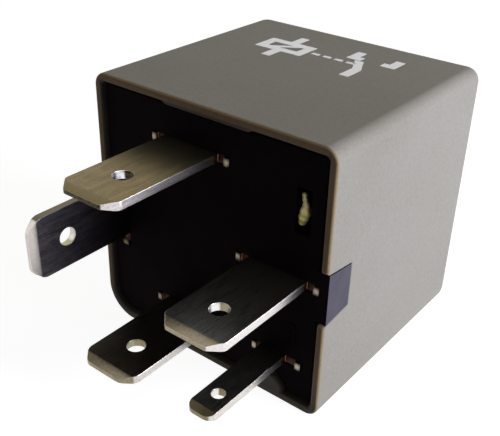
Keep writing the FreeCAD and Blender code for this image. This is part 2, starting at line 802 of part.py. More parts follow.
def yoke_rivets():
    """Two rivets from the common terminal into the yoke, flush inside it."""
    outer_x = yoke_x - blade_thickness
    inner_x = yoke_x + yoke_thickness
    rivets = []
    for y in yoke_rivet_places():
        shank = rod(yoke_rivet_radius, Vector(outer_x, y, middle_z), Vector(1, 0, 0), inner_x - outer_x)
        head = Part.makeCone(yoke_rivet_head_radius * 0.7, yoke_rivet_head_radius, yoke_rivet_head_height,
                             Vector(outer_x - yoke_rivet_head_height, y, middle_z), Vector(1, 0, 0))
        rivets.append(shank.fuse(head).removeSplitter())
    return Part.makeCompound(rivets)


pieces = {
    "cover": cover(),
    "base": base(),
    "resin_drop": resin_drop(),
    "terminal_86": coil_terminal(coil_blade_reach, coil_hole_inset, middle_z + row_offset),
    "terminal_85": coil_terminal(blade_reach, blade_hole_inset, middle_z - row_offset),
    "terminal_30": terminal_30(),
    "terminal_87": terminal_87(),
    "terminal_87a": terminal_87a(),
    "yoke": yoke(),
    "core": core(),
    "bobbin": bobbin(),
    "coil_winding": coil_winding(),
    "armature": armature(),
    "contact_spring": contact_spring(),
    "moving_contact": moving_contact(),
    "fixed_contact_87": fixed_contact(working_face(), 1),
    "fixed_contact_87a": fixed_contact(resting_face(), -1),
    "armature_rivets": armature_rivets(),
    "yoke_rivets": yoke_rivets(),
}

os.makedirs("parts", exist_ok=True)
for name, shape in pieces.items():
    shape.translate(Vector(0, -origin_y, 0))
    shape.exportStep("parts/" + name + ".step")
    print(name, len(shape.Solids), shape.isValid(), round(shape.Volume, 2))
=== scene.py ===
import json
import math

import bmesh
import bpy
from mathutils import Matrix, Vector

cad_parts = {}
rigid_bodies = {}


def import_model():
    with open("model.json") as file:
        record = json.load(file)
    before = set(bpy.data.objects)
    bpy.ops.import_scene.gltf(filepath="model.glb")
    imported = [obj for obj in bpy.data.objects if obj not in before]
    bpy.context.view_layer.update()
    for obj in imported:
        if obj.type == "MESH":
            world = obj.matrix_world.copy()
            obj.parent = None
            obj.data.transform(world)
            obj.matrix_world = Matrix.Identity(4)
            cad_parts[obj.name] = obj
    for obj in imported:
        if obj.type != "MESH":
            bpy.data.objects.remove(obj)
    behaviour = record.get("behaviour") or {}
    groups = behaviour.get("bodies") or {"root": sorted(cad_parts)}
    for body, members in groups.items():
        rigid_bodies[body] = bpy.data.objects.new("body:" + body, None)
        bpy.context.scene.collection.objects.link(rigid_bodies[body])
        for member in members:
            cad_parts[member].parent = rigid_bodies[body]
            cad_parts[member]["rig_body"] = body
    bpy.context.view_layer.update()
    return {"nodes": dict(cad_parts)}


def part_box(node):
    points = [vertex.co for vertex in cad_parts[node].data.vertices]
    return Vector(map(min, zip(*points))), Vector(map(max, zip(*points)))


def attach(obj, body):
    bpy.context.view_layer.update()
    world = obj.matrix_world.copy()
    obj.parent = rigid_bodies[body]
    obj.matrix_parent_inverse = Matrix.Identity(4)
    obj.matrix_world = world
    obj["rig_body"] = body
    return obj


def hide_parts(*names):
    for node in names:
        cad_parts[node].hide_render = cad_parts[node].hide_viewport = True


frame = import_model()
MM = 0.001

# Cover
# The relay's thin moulded cup, open at the blades and snapped over the base.
# It is dull warm grey plastic, filled with mineral, with a very fine sparked grain
# from its mould, and a browner tone on the rim. The rim's rounded edges carry a pale
# painted highlight, the rim is darker towards the bottom with painted shade, and the
# inside of the walls is darkened with painted shade.

# Lengths that only a material reads are plain millimetres, without MM.
cover_grey = (0.388, 0.363, 0.312, 1)
cover_grey_dark = (0.360, 0.333, 0.282, 1)
cover_fleck = (0.24, 0.20, 0.15, 1)
# The pale khaki is a painted highlight on the rounded edges of the rim.
rim_painted_highlight = (0.47, 0.345, 0.18, 1)
rim_brown = (0.215, 0.140, 0.078, 1)
# Painted shade: the rim is darker towards the bottom of the cover, from this tone up to the brown.
rim_painted_shade = (0.070, 0.060, 0.046, 1)
# Painted shade for the inside of the cover's walls.
inside_painted_shade = (0.060, 0.052, 0.042, 1)
cover_edge = 0.12 * MM
rim_edge = 0.27 * MM
rim_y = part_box("cover")[0].y
rim_band = 0.20
rim_band_fade = 0.25
rim_shade_height = 1.4
rim_shade_fade = 2.6
inside_from = 0.58
inside_depth = 8.0
inside_fade = 0.15
merge_distance = 0.002 * MM
collapsed_distance = 0.0002 * MM
flat_turn = math.radians(0.6)
wide_segments = 4


def new_material(name):
    """A material with its node tree and its shader."""
    material = bpy.data.materials.new(name)
    material.use_nodes = True
    tree = material.node_tree
    return material, tree, tree.nodes["Principled BSDF"]


def in_millimetres(tree):
    """The place on the piece, in millimetres."""
    place = tree.nodes.new("ShaderNodeTexCoord")
    scale = tree.nodes.new("ShaderNodeMapping")
    scale.inputs["Scale"].default_value = (1 / MM, 1 / MM, 1 / MM)
    tree.links.new(place.outputs["Object"], scale.inputs["Vector"])
    return scale.outputs["Vector"]


def noise(tree, place, per_mm, detail=3.0, roughness=0.55):
    """Noise with its own count of patches per millimetre along x, y and z."""
    stretch = tree.nodes.new("ShaderNodeMapping")
    stretch.inputs["Scale"].default_value = per_mm
    tree.links.new(place, stretch.inputs["Vector"])
    texture = tree.nodes.new("ShaderNodeTexNoise")
    texture.inputs["Scale"].default_value = 1.0
    texture.inputs["Detail"].default_value = detail
    texture.inputs["Roughness"].default_value = roughness
    tree.links.new(stretch.outputs["Vector"], texture.inputs["Vector"])
    return texture.outputs["Fac"]


def ramp(tree, value, low, high, out_low=0.0, out_high=1.0):
    """A value carried from one range into another, and kept inside it."""
    spread = tree.nodes.new("ShaderNodeMapRange")
    spread.inputs["From Min"].default_value = low
    spread.inputs["From Max"].default_value = high
    spread.inputs["To Min"].default_value = out_low
    spread.inputs["To Max"].default_value = out_high
    tree.links.new(value, spread.inputs["Value"])
    return spread.outputs["Result"]


def mixed(tree, share, first, second):
    """Two colours mixed by a share; each is a colour or the output of a node."""
    blend = tree.nodes.new("ShaderNodeMix")
    blend.data_type = "RGBA"
    tree.links.new(share, blend.inputs["Factor"])
    for socket, colour in ((blend.inputs[6], first), (blend.inputs[7], second)):
        if isinstance(colour, tuple):
            socket.default_value = colour
        else:
            tree.links.new(colour, socket)
    return blend.outputs[2]


def combined(tree, operation, first, second):
    """One sum of two values, each a number or the output of a node."""
    step = tree.nodes.new("ShaderNodeMath")
    step.operation = operation
    for socket, value in zip(step.inputs, (first, second)):
        if isinstance(value, (int, float)):
            socket.default_value = value
        else:
            tree.links.new(value, socket)
    return step.outputs["Value"]


def along(tree, vector, axis):
    """One of the three parts of a vector."""
    parts = tree.nodes.new("ShaderNodeSeparateXYZ")
    tree.links.new(vector, parts.inputs["Vector"])
    return parts.outputs[axis]


def facing(tree, axis, sign=1.0, low=0.6, high=0.8):
    """1 where the surface looks along an axis; a sign of 0 takes both ways."""
    surface = tree.nodes.new("ShaderNodeTexCoord")
    part = along(tree, surface.outputs["Normal"], axis)
    if sign == 0:
        part = combined(tree, "ABSOLUTE", part, 0)
    else:
        part = combined(tree, "MULTIPLY", part, sign)
    return ramp(tree, part, low, high)


def bumped(tree, shader, height, depth_mm, strength=1.0):
    """Small relief on the surface of a piece, from a height of 0 to 1."""
    bump = tree.nodes.new("ShaderNodeBump")
    bump.inputs["Strength"].default_value = strength
    bump.inputs["Distance"].default_value = depth_mm * MM
    tree.links.new(height, bump.inputs["Height"])
    tree.links.new(bump.outputs["Normal"], shader.inputs["Normal"])


def sharp_edges(shape, angle):
    """The edges whose two faces turn by more than an angle in degrees."""
    found = []
    for edge in shape.edges:
        if len(edge.link_faces) == 2 and edge.calc_face_angle(0) > math.radians(angle):
            found.append(edge)
    return found


def break_edges(shape, edges, width, segments):
    """Some edges of a shape rounded, as wide as their neighbours leave room for."""
    bmesh.ops.bevel(shape, geom=edges, offset=width, offset_type="OFFSET", segments=segments,
                    profile=0.5, affect="EDGES", clamp_overlap=True, material=-1)


def finished(shape, name, material, body, angle=35):
    """The object of a shape, with its soft edges shaded round and its flat faces flat."""
    mesh = bpy.data.meshes.new(name)
    shape.to_mesh(mesh)
    shape.free()
    mesh.shade_smooth()
    mesh.set_sharp_from_angle(angle=math.radians(angle))
    mesh.materials.clear()
    mesh.materials.append(material)
    piece = bpy.data.objects.new(name, mesh)
    bpy.context.scene.collection.objects.link(piece)
    even = piece.modifiers.new("flat faces stay flat", "WEIGHTED_NORMAL")
    even.keep_sharp = True
    even.weight = 100
    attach(piece, body)
    return piece


def edged_copy(node, name, width, material, angle=35, segments=2, wide=()):
    """A CAD node's shape with its sharp edges broken, some of them wider, in that node's place."""
    source = frame["nodes"][node]
    shape = bmesh.new()
    shape.from_mesh(source.data)
    bmesh.ops.remove_doubles(shape, verts=shape.verts, dist=merge_distance)
    bmesh.ops.dissolve_limit(shape, angle_limit=flat_turn, verts=shape.verts, edges=shape.edges)
    for chooser, wide_width in wide:
        chosen = [edge for edge in sharp_edges(shape, angle) if chooser(edge)]
        break_edges(shape, chosen, wide_width, wide_segments)
        bmesh.ops.remove_doubles(shape, verts=shape.verts, dist=merge_distance)
    break_edges(shape, sharp_edges(shape, angle), width, segments)
    bmesh.ops.remove_doubles(shape, verts=shape.verts, dist=collapsed_distance)
    piece = finished(shape, name, material, source["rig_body"], angle)
    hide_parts(node)


def inner_wall(tree, place):
    """1 on the inside of the cover's walls, and on the inner half of its rounded rim, where painted
    shade is laid.
    """
    low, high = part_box("cover")
    across = combined(tree, "ABSOLUTE", along(tree, place, "X"), 0)
    up = along(tree, place, "Z")
    side_limit = high.x / MM - inside_from
    top_limit = high.z / MM - inside_from
    inside = ramp(tree, across, side_limit, side_limit - inside_fade)
    below_top = ramp(tree, up, top_limit, top_limit - inside_fade)
    inside = combined(tree, "MULTIPLY", inside, below_top)
    above_bottom = ramp(tree, up, inside_from, inside_from + inside_fade)
    inside = combined(tree, "MULTIPLY", inside, above_bottom)
    wall_end = low.y / MM + inside_depth
    before_end = ramp(tree, along(tree, place, "Y"), wall_end, wall_end - 1)
    return combined(tree, "MULTIPLY", inside, before_end)


def cover_material():
    material, tree, shader = new_material("cover_plastic")
    place = in_millimetres(tree)
    cloud = noise(tree, place, (0.10, 0.10, 0.10), 3)
    mottle = noise(tree, place, (2.6, 2.6, 2.6), 3, 0.6)
    fleck = noise(tree, place, (5.0, 5.0, 5.0), 2, 0.7)
    grain = noise(tree, place, (9.0, 9.0, 9.0), 3, 0.6)
    body = mixed(tree, ramp(tree, cloud, 0.35, 0.65), cover_grey, cover_grey_dark)
    body = mixed(tree, ramp(tree, mottle, 0.42, 0.7, 0, 0.20), body, cover_fleck)
    body = mixed(tree, ramp(tree, fleck, 0.42, 0.72, 0, 0.30), body, cover_fleck)

    up = along(tree, place, "Z")
    # Painted shade: the rim turns darker towards the bottom of the cover.
    above_rim_shade = ramp(tree, up, rim_shade_height, rim_shade_height + rim_shade_fade)
    rim_tone = mixed(tree, above_rim_shade, rim_painted_shade, rim_brown)
    # Painted highlight: where the rim's rounded edges turn away from the mouth's plane, they take the
    # pale khaki.
    rim_tone = mixed(tree, facing(tree, "Y", -1, 0.80, 0.97), rim_painted_highlight, rim_tone)
    rim_tone = mixed(tree, ramp(tree, mottle, 0.4, 0.7, 0, 0.3), rim_tone, cover_fleck)
    band_end = rim_y / MM + rim_band
    near_rim = ramp(tree, along(tree, place, "Y"), band_end, band_end + rim_band_fade, 1, 0)
    rim = combined(tree, "MULTIPLY", near_rim, facing(tree, "Y", -1, 0.05, 0.45))
    # Painted shade on the inside of the walls and on the inner half of the rim.
    body = mixed(tree, inner_wall(tree, place), body, inside_painted_shade)
    rim_tone = mixed(tree, inner_wall(tree, place), rim_tone, inside_painted_shade)
    tree.links.new(mixed(tree, rim, body, rim_tone), shader.inputs["Base Color"])
    shader.inputs["Roughness"].default_value = 0.62
    shader.inputs["Specular IOR Level"].default_value = 0.2
    bumped(tree, shader, grain, 0.02, 0.35)
    return material


def on_rim(edge):
    """Whether an edge lies in the plane of the cover's mouth."""
    return all(abs(vertex.co.y - rim_y) < 0.01 * MM for vertex in edge.verts)


edged_copy("cover", "moulded_cover", cover_edge, cover_material(),
           wide=((on_rim, rim_edge),))

# Print on the cover
# A plain circuit diagram of a changeover relay, printed in white ink on the top side:
# the coil, its leads, the contacts, and a broken line between them. It is pad printed,
# one or two hundredths of a millimetre thick, and slightly worn.

ink_white = (0.95, 0.95, 0.93, 1)
ink_worn = (0.60, 0.59, 0.56, 1)
ink_thickness = 0.015 * MM
ink_corner = 0.07 * MM
print_middle = Vector((-0.45, 10.6)) * MM
print_line = 1.0 * MM
print_half_height = 3.6 * MM
coil_middle_x = -4.2 * MM
coil_half_width = 2.8 * MM
coil_half_height = 1.65 * MM
coil_slant = 0.9 * MM
lead_x = 5.0 * MM
throw_x = 2.2 * MM
throw_height = 1.2 * MM
throw_gap = 0.1 * MM
contact_foot = 0.6 * MM
dash_length = 0.9 * MM
dash_gap = 0.45 * MM


def ink_patch(shape, corners):
    """One flat patch of ink, given by its corners on the print."""
    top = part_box("cover")[1].z
    ring = [shape.verts.new((x + print_middle.x, y + print_middle.y, top)) for x, y in corners]
    face = shape.faces.new(ring)
    raised = bmesh.ops.extrude_face_region(shape, geom=[face])["geom"]
    moved = [item for item in raised if isinstance(item, bmesh.types.BMVert)]
    bmesh.ops.translate(shape, verts=moved, vec=(0, 0, ink_thickness))


def ink_bar(shape, x0, x1, y0, y1):
    ink_patch(shape, ((x0, y0), (x1, y0), (x1, y1), (x0, y1)))


def coil_symbol(shape):
    """The coil: a box with a slanted stroke, and a lead from each long side."""
    half = print_line / 2
    left = coil_middle_x - coil_half_width
    right = coil_middle_x + coil_half_width
    low = -coil_half_height
    high = coil_half_height
    inner_low = low + print_line
    inner_high = high - print_line
    ink_bar(shape, left, right, low, inner_low)
    ink_bar(shape, left, right, inner_high, high)
    ink_bar(shape, left, left + print_line, inner_low, inner_high)
    ink_bar(shape, right - print_line, right, inner_low, inner_high)
    foot = coil_middle_x - coil_slant
    head = coil_middle_x + coil_slant
    ink_patch(shape, ((foot - half, inner_low), (foot + half, inner_low),
                      (head + half, inner_high), (head - half, inner_high)))
    ink_bar(shape, coil_middle_x - half, coil_middle_x + half, -print_half_height, low)
    ink_bar(shape, coil_middle_x - half, coil_middle_x + half, high, print_half_height)


def contact_symbol(shape):
    """The changeover contact: a moving arm at one of two fixed contacts."""
    half = print_line / 2
    arm_x = lead_x - throw_x / 2
    arm_top = throw_height - throw_gap
    ink_bar(shape, lead_x - half, lead_x + half, -print_half_height, -throw_height)
    ink_patch(shape, ((lead_x - half, -throw_height), (lead_x + half, -throw_height),
                      (arm_x + half, arm_top), (arm_x - half, arm_top)))
    for side in (-1, 1):
        x = lead_x + side * throw_x
        ink_bar(shape, x - half, x + half, throw_height, print_half_height)
        inner = x - side * half
        x0, x1 = sorted((inner, inner - side * contact_foot))
        ink_bar(shape, x0, x1, throw_height, throw_height + print_line)


def circuit_print():
    shape = bmesh.new()
    coil_symbol(shape)
    start = coil_middle_x + coil_half_width + dash_gap
    while start + dash_length < lead_x - print_line:
        ink_bar(shape, start, start + dash_length, -print_line / 4, print_line / 4)
        start += dash_length + dash_gap
    contact_symbol(shape)
    bmesh.ops.recalc_face_normals(shape, faces=shape.faces)
    upright = []
    for edge in shape.edges:
        first, second = edge.verts
        if abs(first.co.z - second.co.z) > ink_thickness / 2:
            upright.append(edge)
    break_edges(shape, upright, ink_corner, 3)
    finished(shape, "circuit_print", ink_material(), "relay")


def ink_material():
    material, tree, shader = new_material("white_ink")
    place = in_millimetres(tree)
    worn = noise(tree, place, (4.5, 4.5, 4.5), 4, 0.7)
    tree.links.new(mixed(tree, ramp(tree, worn, 0.56, 0.72), ink_white, ink_worn),
                   shader.inputs["Base Color"])
    shader.inputs["Roughness"].default_value = 0.35
    shader.inputs["Specular IOR Level"].default_value = 1.0
    shader.inputs["Coat Weight"].default_value = 1.0
    shader.inputs["Coat Roughness"].default_value = 0.2
    shader.inputs["Coat IOR"].default_value = 2.2
    bumped(tree, shader, worn, 0.01, 0.15)
    return material


circuit_print()

# Base
# The thick black plate in the mouth, which holds the five terminals and latches into
# notches of the cover. It is glass-filled nylon, moulded in one piece, a little rough,
# with a small raised cavity number beside the narrow terminal.

base_black = (0.0021, 0.0011, 0.0018, 1)
base_brown = (0.0038, 0.0022, 0.0020, 1)
latch_grey = (0.123, 0.112, 0.130, 1)
latch_worn = (0.060, 0.056, 0.070, 1)
base_edge = 0.06 * MM
number_place = Vector((9.95, -7.1, 7.6)) * MM
number_height = 2.4 * MM
number_slim = 0.7
number_rise = 0.07 * MM
figure_share = 0.72
outer_face_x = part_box("base")[1].x / MM


def base_material():
    material, tree, shader = new_material("base_plastic")
    place = in_millimetres(tree)
    cloud = noise(tree, place, (0.3, 0.3, 0.3), 4)
    grain = noise(tree, place, (11.0, 11.0, 11.0), 3, 0.65)
    tone = mixed(tree, ramp(tree, cloud, 0.35, 0.65), base_black, base_brown)
    side = combined(tree, "ABSOLUTE", along(tree, place, "X"), 0)
    outer = ramp(tree, side, outer_face_x - 0.05, outer_face_x - 0.01)
    outer = combined(tree, "MULTIPLY", outer, facing(tree, "X", 0))
    latch = mixed(tree, ramp(tree, cloud, 0.40, 0.60, 0, 0.35), latch_grey, latch_worn)
    tree.links.new(mixed(tree, outer, tone, latch), shader.inputs["Base Color"])
    shader.inputs["Roughness"].default_value = 0.75
    shader.inputs["Specular IOR Level"].default_value = 0.025
    bumped(tree, shader, grain, 0.02, 0.4)
    return material


def raised_number(text, name, material):
    """A number moulded in relief on the front of the base, its foot on the face."""
    curve = bpy.data.curves.new(name + " outline", "FONT")
    curve.body = text
    curve.size = number_height / figure_share
    curve.extrude = number_rise
    curve.align_x = "CENTER"
    curve.align_y = "CENTER"
    drawn = bpy.data.objects.new(name + " outline", curve)
    mesh = bpy.data.meshes.new_from_object(drawn)
    bpy.data.objects.remove(drawn)
    shape = bmesh.new()
    shape.from_mesh(mesh)
    bmesh.ops.remove_doubles(shape, verts=shape.verts, dist=merge_distance)
    upright = Matrix.Translation(number_place) @ Matrix.Rotation(math.radians(90), 4, "X")
    slim = Matrix.Diagonal((number_slim, 1, 1, 1))
    bmesh.ops.transform(shape, matrix=upright @ slim, verts=shape.verts)
    finished(shape, name, material, "relay")


base_finish = base_material()
edged_copy("base", "moulded_base", base_edge, base_finish)
raised_number("8", "cavity_number", base_finish)

# Sealing drop
# The breather slot of the base is closed with a drop of yellow-green resin, let in by
# hand, thin at the top and fat below, cured with a wrinkled skin that carries pale
# painted glints.

resin_green = (0.80, 0.68, 0.10, 1)
resin_pale = (0.90, 0.80, 0.26, 1)
resin_pink = (0.56, 0.46, 0.34, 1)
# Pale painted glints on the wrinkles of the skin.
resin_painted_glint = (1.0, 0.96, 0.74, 1)
bead_lumps = ((0.30, 0.12, 0.34), (0.42, 0.27, 0.46), (0.56, 0.44, 0.50), (0.56, 0.62, 0.34),
              (0.42, 0.78, 0.26), (0.34, 0.90, 0.24))
pink_length = 1.5
pink_fade = 0.4
bead_set_back = 0.55
bead_voxel = 0.07 * MM
bead_softening = 6


def resin_material():
    material, tree, shader = new_material("sealing_resin")
    place = in_millimetres(tree)
    cloud = noise(tree, place, (2.5, 2.5, 2.5), 4, 0.7)
    skin = noise(tree, place, (7.0, 7.0, 7.0), 4, 0.7)
    tone = mixed(tree, ramp(tree, cloud, 0.4, 0.6), resin_green, resin_pale)
    # Painted glints: pale spots where the skin's wrinkles rise.
    tone = mixed(tree, ramp(tree, skin, 0.52, 0.66, 0, 0.8), tone, resin_painted_glint)
    pink_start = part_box("resin_drop")[1].z / MM - pink_length
    upper = ramp(tree, along(tree, place, "Z"), pink_start, pink_start + pink_fade)
    tree.links.new(mixed(tree, upper, tone, resin_pink), shader.inputs["Base Color"])
    shader.inputs["Roughness"].default_value = 0.35
    shader.inputs["Specular Tint"].default_value = (1.0, 0.88, 0.40, 1)
    shader.inputs["IOR"].default_value = 2.7
    shader.inputs["Subsurface Weight"].default_value = 0.25
    shader.inputs["Subsurface Radius"].default_value = (0.4 * MM, 0.35 * MM, 0.15 * MM)
    bumped(tree, shader, skin, 0.08, 0.8)
    return material


def resin_bead():
    """Round lumps run into one uneven drop; each has its place across, its height and its size."""
    low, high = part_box("resin_drop")
    width = high.x - low.x
    height = high.z - low.z
    shape = bmesh.new()
    for across, up, size in bead_lumps:
        middle = Vector((low.x + across * width, low.y + bead_set_back * width, low.z + up * height))
        bmesh.ops.create_icosphere(shape, subdivisions=3, radius=size * width,
                                   matrix=Matrix.Translation(middle))
    mesh = bpy.data.meshes.new("resin_bead")
    shape.to_mesh(mesh)
    shape.free()
    mesh.materials.append(resin_material())
    piece = bpy.data.objects.new("resin_bead", mesh)
    bpy.context.scene.collection.objects.link(piece)
    remesh = piece.modifiers.new("one skin", "REMESH")
    remesh.mode = "VOXEL"
    remesh.voxel_size = bead_voxel
    remesh.use_smooth_shade = True
    smooth = piece.modifiers.new("soft skin", "SMOOTH")
    smooth.iterations = bead_softening
    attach(piece, "relay")
    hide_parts("resin_drop")


resin_bead()

# Terminals
# Five flat blades stamped from brass strip and tin plated, with bevels pressed at the
# tips. Each has two small horns that show in the face of the base. The broad faces are
# dull with marks along the strip, the sheared sides bright, the notches coppery and dark
# with painted shade. Each blade's tones hold painted reflection and painted shade, and
# the horns carry a painted highlight.

blade_edge = 0.07 * MM
bevel_length = 0.82
bevel_fade = 0.14
root_from = 5.0
root_to = 10.5
bore_margin = 0.04
bore_fade = 0.06
# The notch floors: a copper tone darkened with painted shade.
notch_copper_shade = (0.022, 0.009, 0.007, 1)
root_copper = (0.22, 0.125, 0.060, 1)
plated_pale = (0.66, 0.63, 0.56, 1)
plated_dark = (0.46, 0.43, 0.37, 1)
shoulder_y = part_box("base")[0].y + 0.1 * MM
shoulder_slack = 0.13 * MM
tip_slack = 0.01 * MM
behind_tips_y = -15 * MM
corner_lean = 0.02 * MM
shortest_corner = 0.25 * MM
longest_corner = 0.85 * MM
horn_width = 0.6
# The horns: a painted highlight in the middle of each, and painted shade towards its edges.
horn_highlight_core = 0.12
horn_highlight_end = 0.38
horn_shade_share = 0.15


def thick_middle(node):
    """Half way through a blade's thickness in millimetres, measured at its tip."""
    mesh = frame["nodes"][node].data
    tip = min(vertex.co.y for vertex in mesh.vertices)
    corners = [vertex.co for vertex in mesh.vertices if vertex.co.y < tip + tip_slack]
    spans = [(min(part), max(part)) for part in ([v.x for v in corners], [v.z for v in corners])]
    low, high = min(spans, key=lambda span: span[1] - span[0])
    return (low + high) / 2 / MM


def blade_middle(node):
    """Where the middle of a lying blade is along x in millimetres, from its tip's corners."""
    mesh = frame["nodes"][node].data
    tip = min(vertex.co.y for vertex in mesh.vertices)
    across = [vertex.co.x for vertex in mesh.vertices if vertex.co.y < tip + tip_slack]
    return (min(across) + max(across)) / 2 / MM


def shoulder_span(node, axis):
    """From where to where a shoulder reaches in millimetres, between its horns' outsides."""
    index = "XYZ".index(axis)
    mesh = frame["nodes"][node].data
    across = [vertex.co[index] for vertex in mesh.vertices
              if abs(vertex.co.y - shoulder_y) < shoulder_slack]
    return min(across) / MM, max(across) / MM


def at_tip_corner(edge):
    """Whether an edge stands across the strip at one of the cut corners of a blade's tip."""
    first, second = (vertex.co for vertex in edge.verts)
    run = second - first
    if max(first.y, second.y) > behind_tips_y or abs(run.y) > corner_lean:
        return False
    return shortest_corner < max(abs(run.z), abs(run.x)) < longest_corner


def reach_from(tree, place, point, flat_axis):
    """How far the place is from a line through a point, along one of the axes."""
    keep = [0.0 if axis == flat_axis else 1.0 for axis in "XYZ"]
    flattened = tree.nodes.new("ShaderNodeVectorMath")
    flattened.operation = "MULTIPLY"
    flattened.inputs[1].default_value = keep
    tree.links.new(place, flattened.inputs[0])
    reach = tree.nodes.new("ShaderNodeVectorMath")
    reach.operation = "DISTANCE"
    reach.inputs[1].default_value = [part * share for part, share in zip(point, keep)]
    tree.links.new(flattened.outputs["Vector"], reach.inputs[0])
    return reach.outputs["Value"]


def strip_marks(tree, place):
    """The marks of rolling, handling and plating that all surfaces of a terminal share."""
    return {"streak": noise(tree, place, (6.0, 0.30, 6.0), 1.5, 0.5),
            "speck": noise(tree, place, (7.0, 5.0, 7.0), 1.5, 0.5),
            "fine": noise(tree, place, (14.0, 3.0, 14.0), 4, 0.65),
            "patch": noise(tree, place, (1.6, 0.8, 1.6), 4, 0.6),
            "spot": noise(tree, place, (3.5, 3.5, 3.5), 3, 0.65)}


def broad_face(tree, y, tip, marks, face, face_dark, root, bevel, streaks, specks, blots):
    """The broad faces, from the pressed bevel of the tip to the root."""
    pale = tuple(min(1.0, 1.9 * part) for part in face[:3]) + (1,)
    tone = mixed(tree, ramp(tree, marks["patch"], 0.35, 0.65), face, face_dark)
    tone = mixed(tree, ramp(tree, marks["streak"], 0.42, 0.66, 0, streaks), tone, pale)
    tone = mixed(tree, ramp(tree, marks["speck"], 0.45, 0.70, 0, specks), tone, pale)
    # Towards the root the faces take the root tone: painted shade and painted reflection of the base
    # and the cover's rim near them.
    tone = mixed(tree, ramp(tree, y, tip + root_from, tip + root_to), tone, root)
    bevel_end = tip + bevel_length
    pressed = ramp(tree, y, bevel_end, bevel_end + bevel_fade, 1, 0)
    bevel_tone = mixed(tree, ramp(tree, marks["spot"], 0.4, 0.65, 0, blots), bevel, face_dark)
    return mixed(tree, pressed, tone, bevel_tone)


def sheared_side(tree, y, marks, in_bore, side, side_dark, bore):
    """The sheared sides, coppery at the root, and the wall of the hole."""
    front = shoulder_y / MM
    tone = mixed(tree, ramp(tree, marks["fine"], 0.42, 0.75), side, side_dark)
    tone = mixed(tree, ramp(tree, y, front - 0.5, front - 0.1), tone, root_copper)
    return mixed(tree, in_bore, tone, bore)


def front_face(tree, y, marks, end, face_dark, blots):
    """The end of the tip, and the floors of the notches beside the blade, in dark copper that is
    mostly painted shade.
    """
    front = shoulder_y / MM
    tone = mixed(tree, ramp(tree, marks["spot"], 0.42, 0.62, 0, blots), end, face_dark)
    return mixed(tree, ramp(tree, y, front - 0.3, front - 0.2), tone, notch_copper_shade)


def with_horns(tree, place, node, broad_axis, tone, horn):
    """A tone with the horns laid over it: a painted highlight in their middles and painted shade
    towards their edges.
    """
    across_axis = "X" if broad_axis == "Z" else "Z"
    across = along(tree, place, across_axis)
    first, last = shoulder_span(node, across_axis)
    first_inside = first + horn_width
    last_inside = last - horn_width
    on_horns = combined(tree, "ADD", ramp(tree, across, first_inside, first_inside - 0.04),
                        ramp(tree, across, last_inside, last_inside + 0.04))
    horn_highlights = []
    for across_mm in (first + horn_width / 2, last - horn_width / 2):
        point = (across_mm, 0, thick_middle(node))
        if broad_axis == "X":
            point = (thick_middle(node), 0, across_mm)
        reach = reach_from(tree, place, point, "Y")
        horn_highlights.append(ramp(tree, reach, horn_highlight_core, horn_highlight_end, 1, 0))
    # Painted shade towards the horns' edges, painted highlight at their middles.
    horn_shade = tuple(horn_shade_share * part for part in horn[:3]) + (1,)
    horn_tone = mixed(tree, combined(tree, "ADD", horn_highlights[0], horn_highlights[1]), horn_shade, horn)
    return mixed(tree, on_horns, tone, horn_tone)


def hole_wall(tree, place, node, broad_axis, hole_inset, hole_radius):
    """1 on the wall of a blade's hole."""
    low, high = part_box(node)
    hole_y = low.y / MM + hole_inset
    if broad_axis == "Z":
        middle = (blade_middle(node), hole_y, 0)
    else:
        middle = (0, hole_y, (low.z + high.z) / 2 / MM)
    wall = hole_radius + bore_margin
    return ramp(tree, reach_from(tree, place, middle, broad_axis), wall, wall + bore_fade, 1, 0)


def terminal(number, broad_axis, hole_inset, hole_radius, corner, face, face_dark, root, bevel, end,
             side, side_dark, bore, horn, streaks, specks, blots=0.5, rough=0.24, cap=0.72):
    """One terminal, with a tone for each of its stamped, sheared and worn surfaces."""
    node = "terminal_" + number
    material, tree, shader = new_material("plated_strip_" + number)
    place = in_millimetres(tree)
    y = along(tree, place, "Y")
    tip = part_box(node)[0].y / MM
    marks = strip_marks(tree, place)
    in_bore = hole_wall(tree, place, node, broad_axis, hole_inset, hole_radius)
    broad_tone = broad_face(tree, y, tip, marks, face, face_dark, root, bevel, streaks, specks, blots)
    side_tone = sheared_side(tree, y, marks, in_bore, side, side_dark, bore)
    front_tone = front_face(tree, y, marks, end, face_dark, blots)
    tone = mixed(tree, facing(tree, broad_axis, 0, 0.55, 0.75), side_tone, broad_tone)
    tone = mixed(tree, facing(tree, "Y", -1, cap, cap + 0.12), tone, front_tone)
    tone = with_horns(tree, place, node, broad_axis, tone, horn)
    inside_tone = mixed(tree, ramp(tree, marks["patch"], 0.35, 0.65), plated_pale, plated_dark)
    inside = ramp(tree, y, shoulder_y / MM + 0.35, shoulder_y / MM + 0.6)
    tree.links.new(mixed(tree, inside, tone, inside_tone), shader.inputs["Base Color"])
    shader.inputs["Metallic"].default_value = 1.0
    gloss = ramp(tree, marks["streak"], 0.3, 0.7, rough + 0.03, rough + 0.10)
    tree.links.new(gloss, shader.inputs["Roughness"])
    bumped(tree, shader, marks["speck"], 0.004, 0.3)
    edged_copy(node, "blade_" + number, blade_edge, material, segments=3,
               wide=((at_tip_corner, corner),))


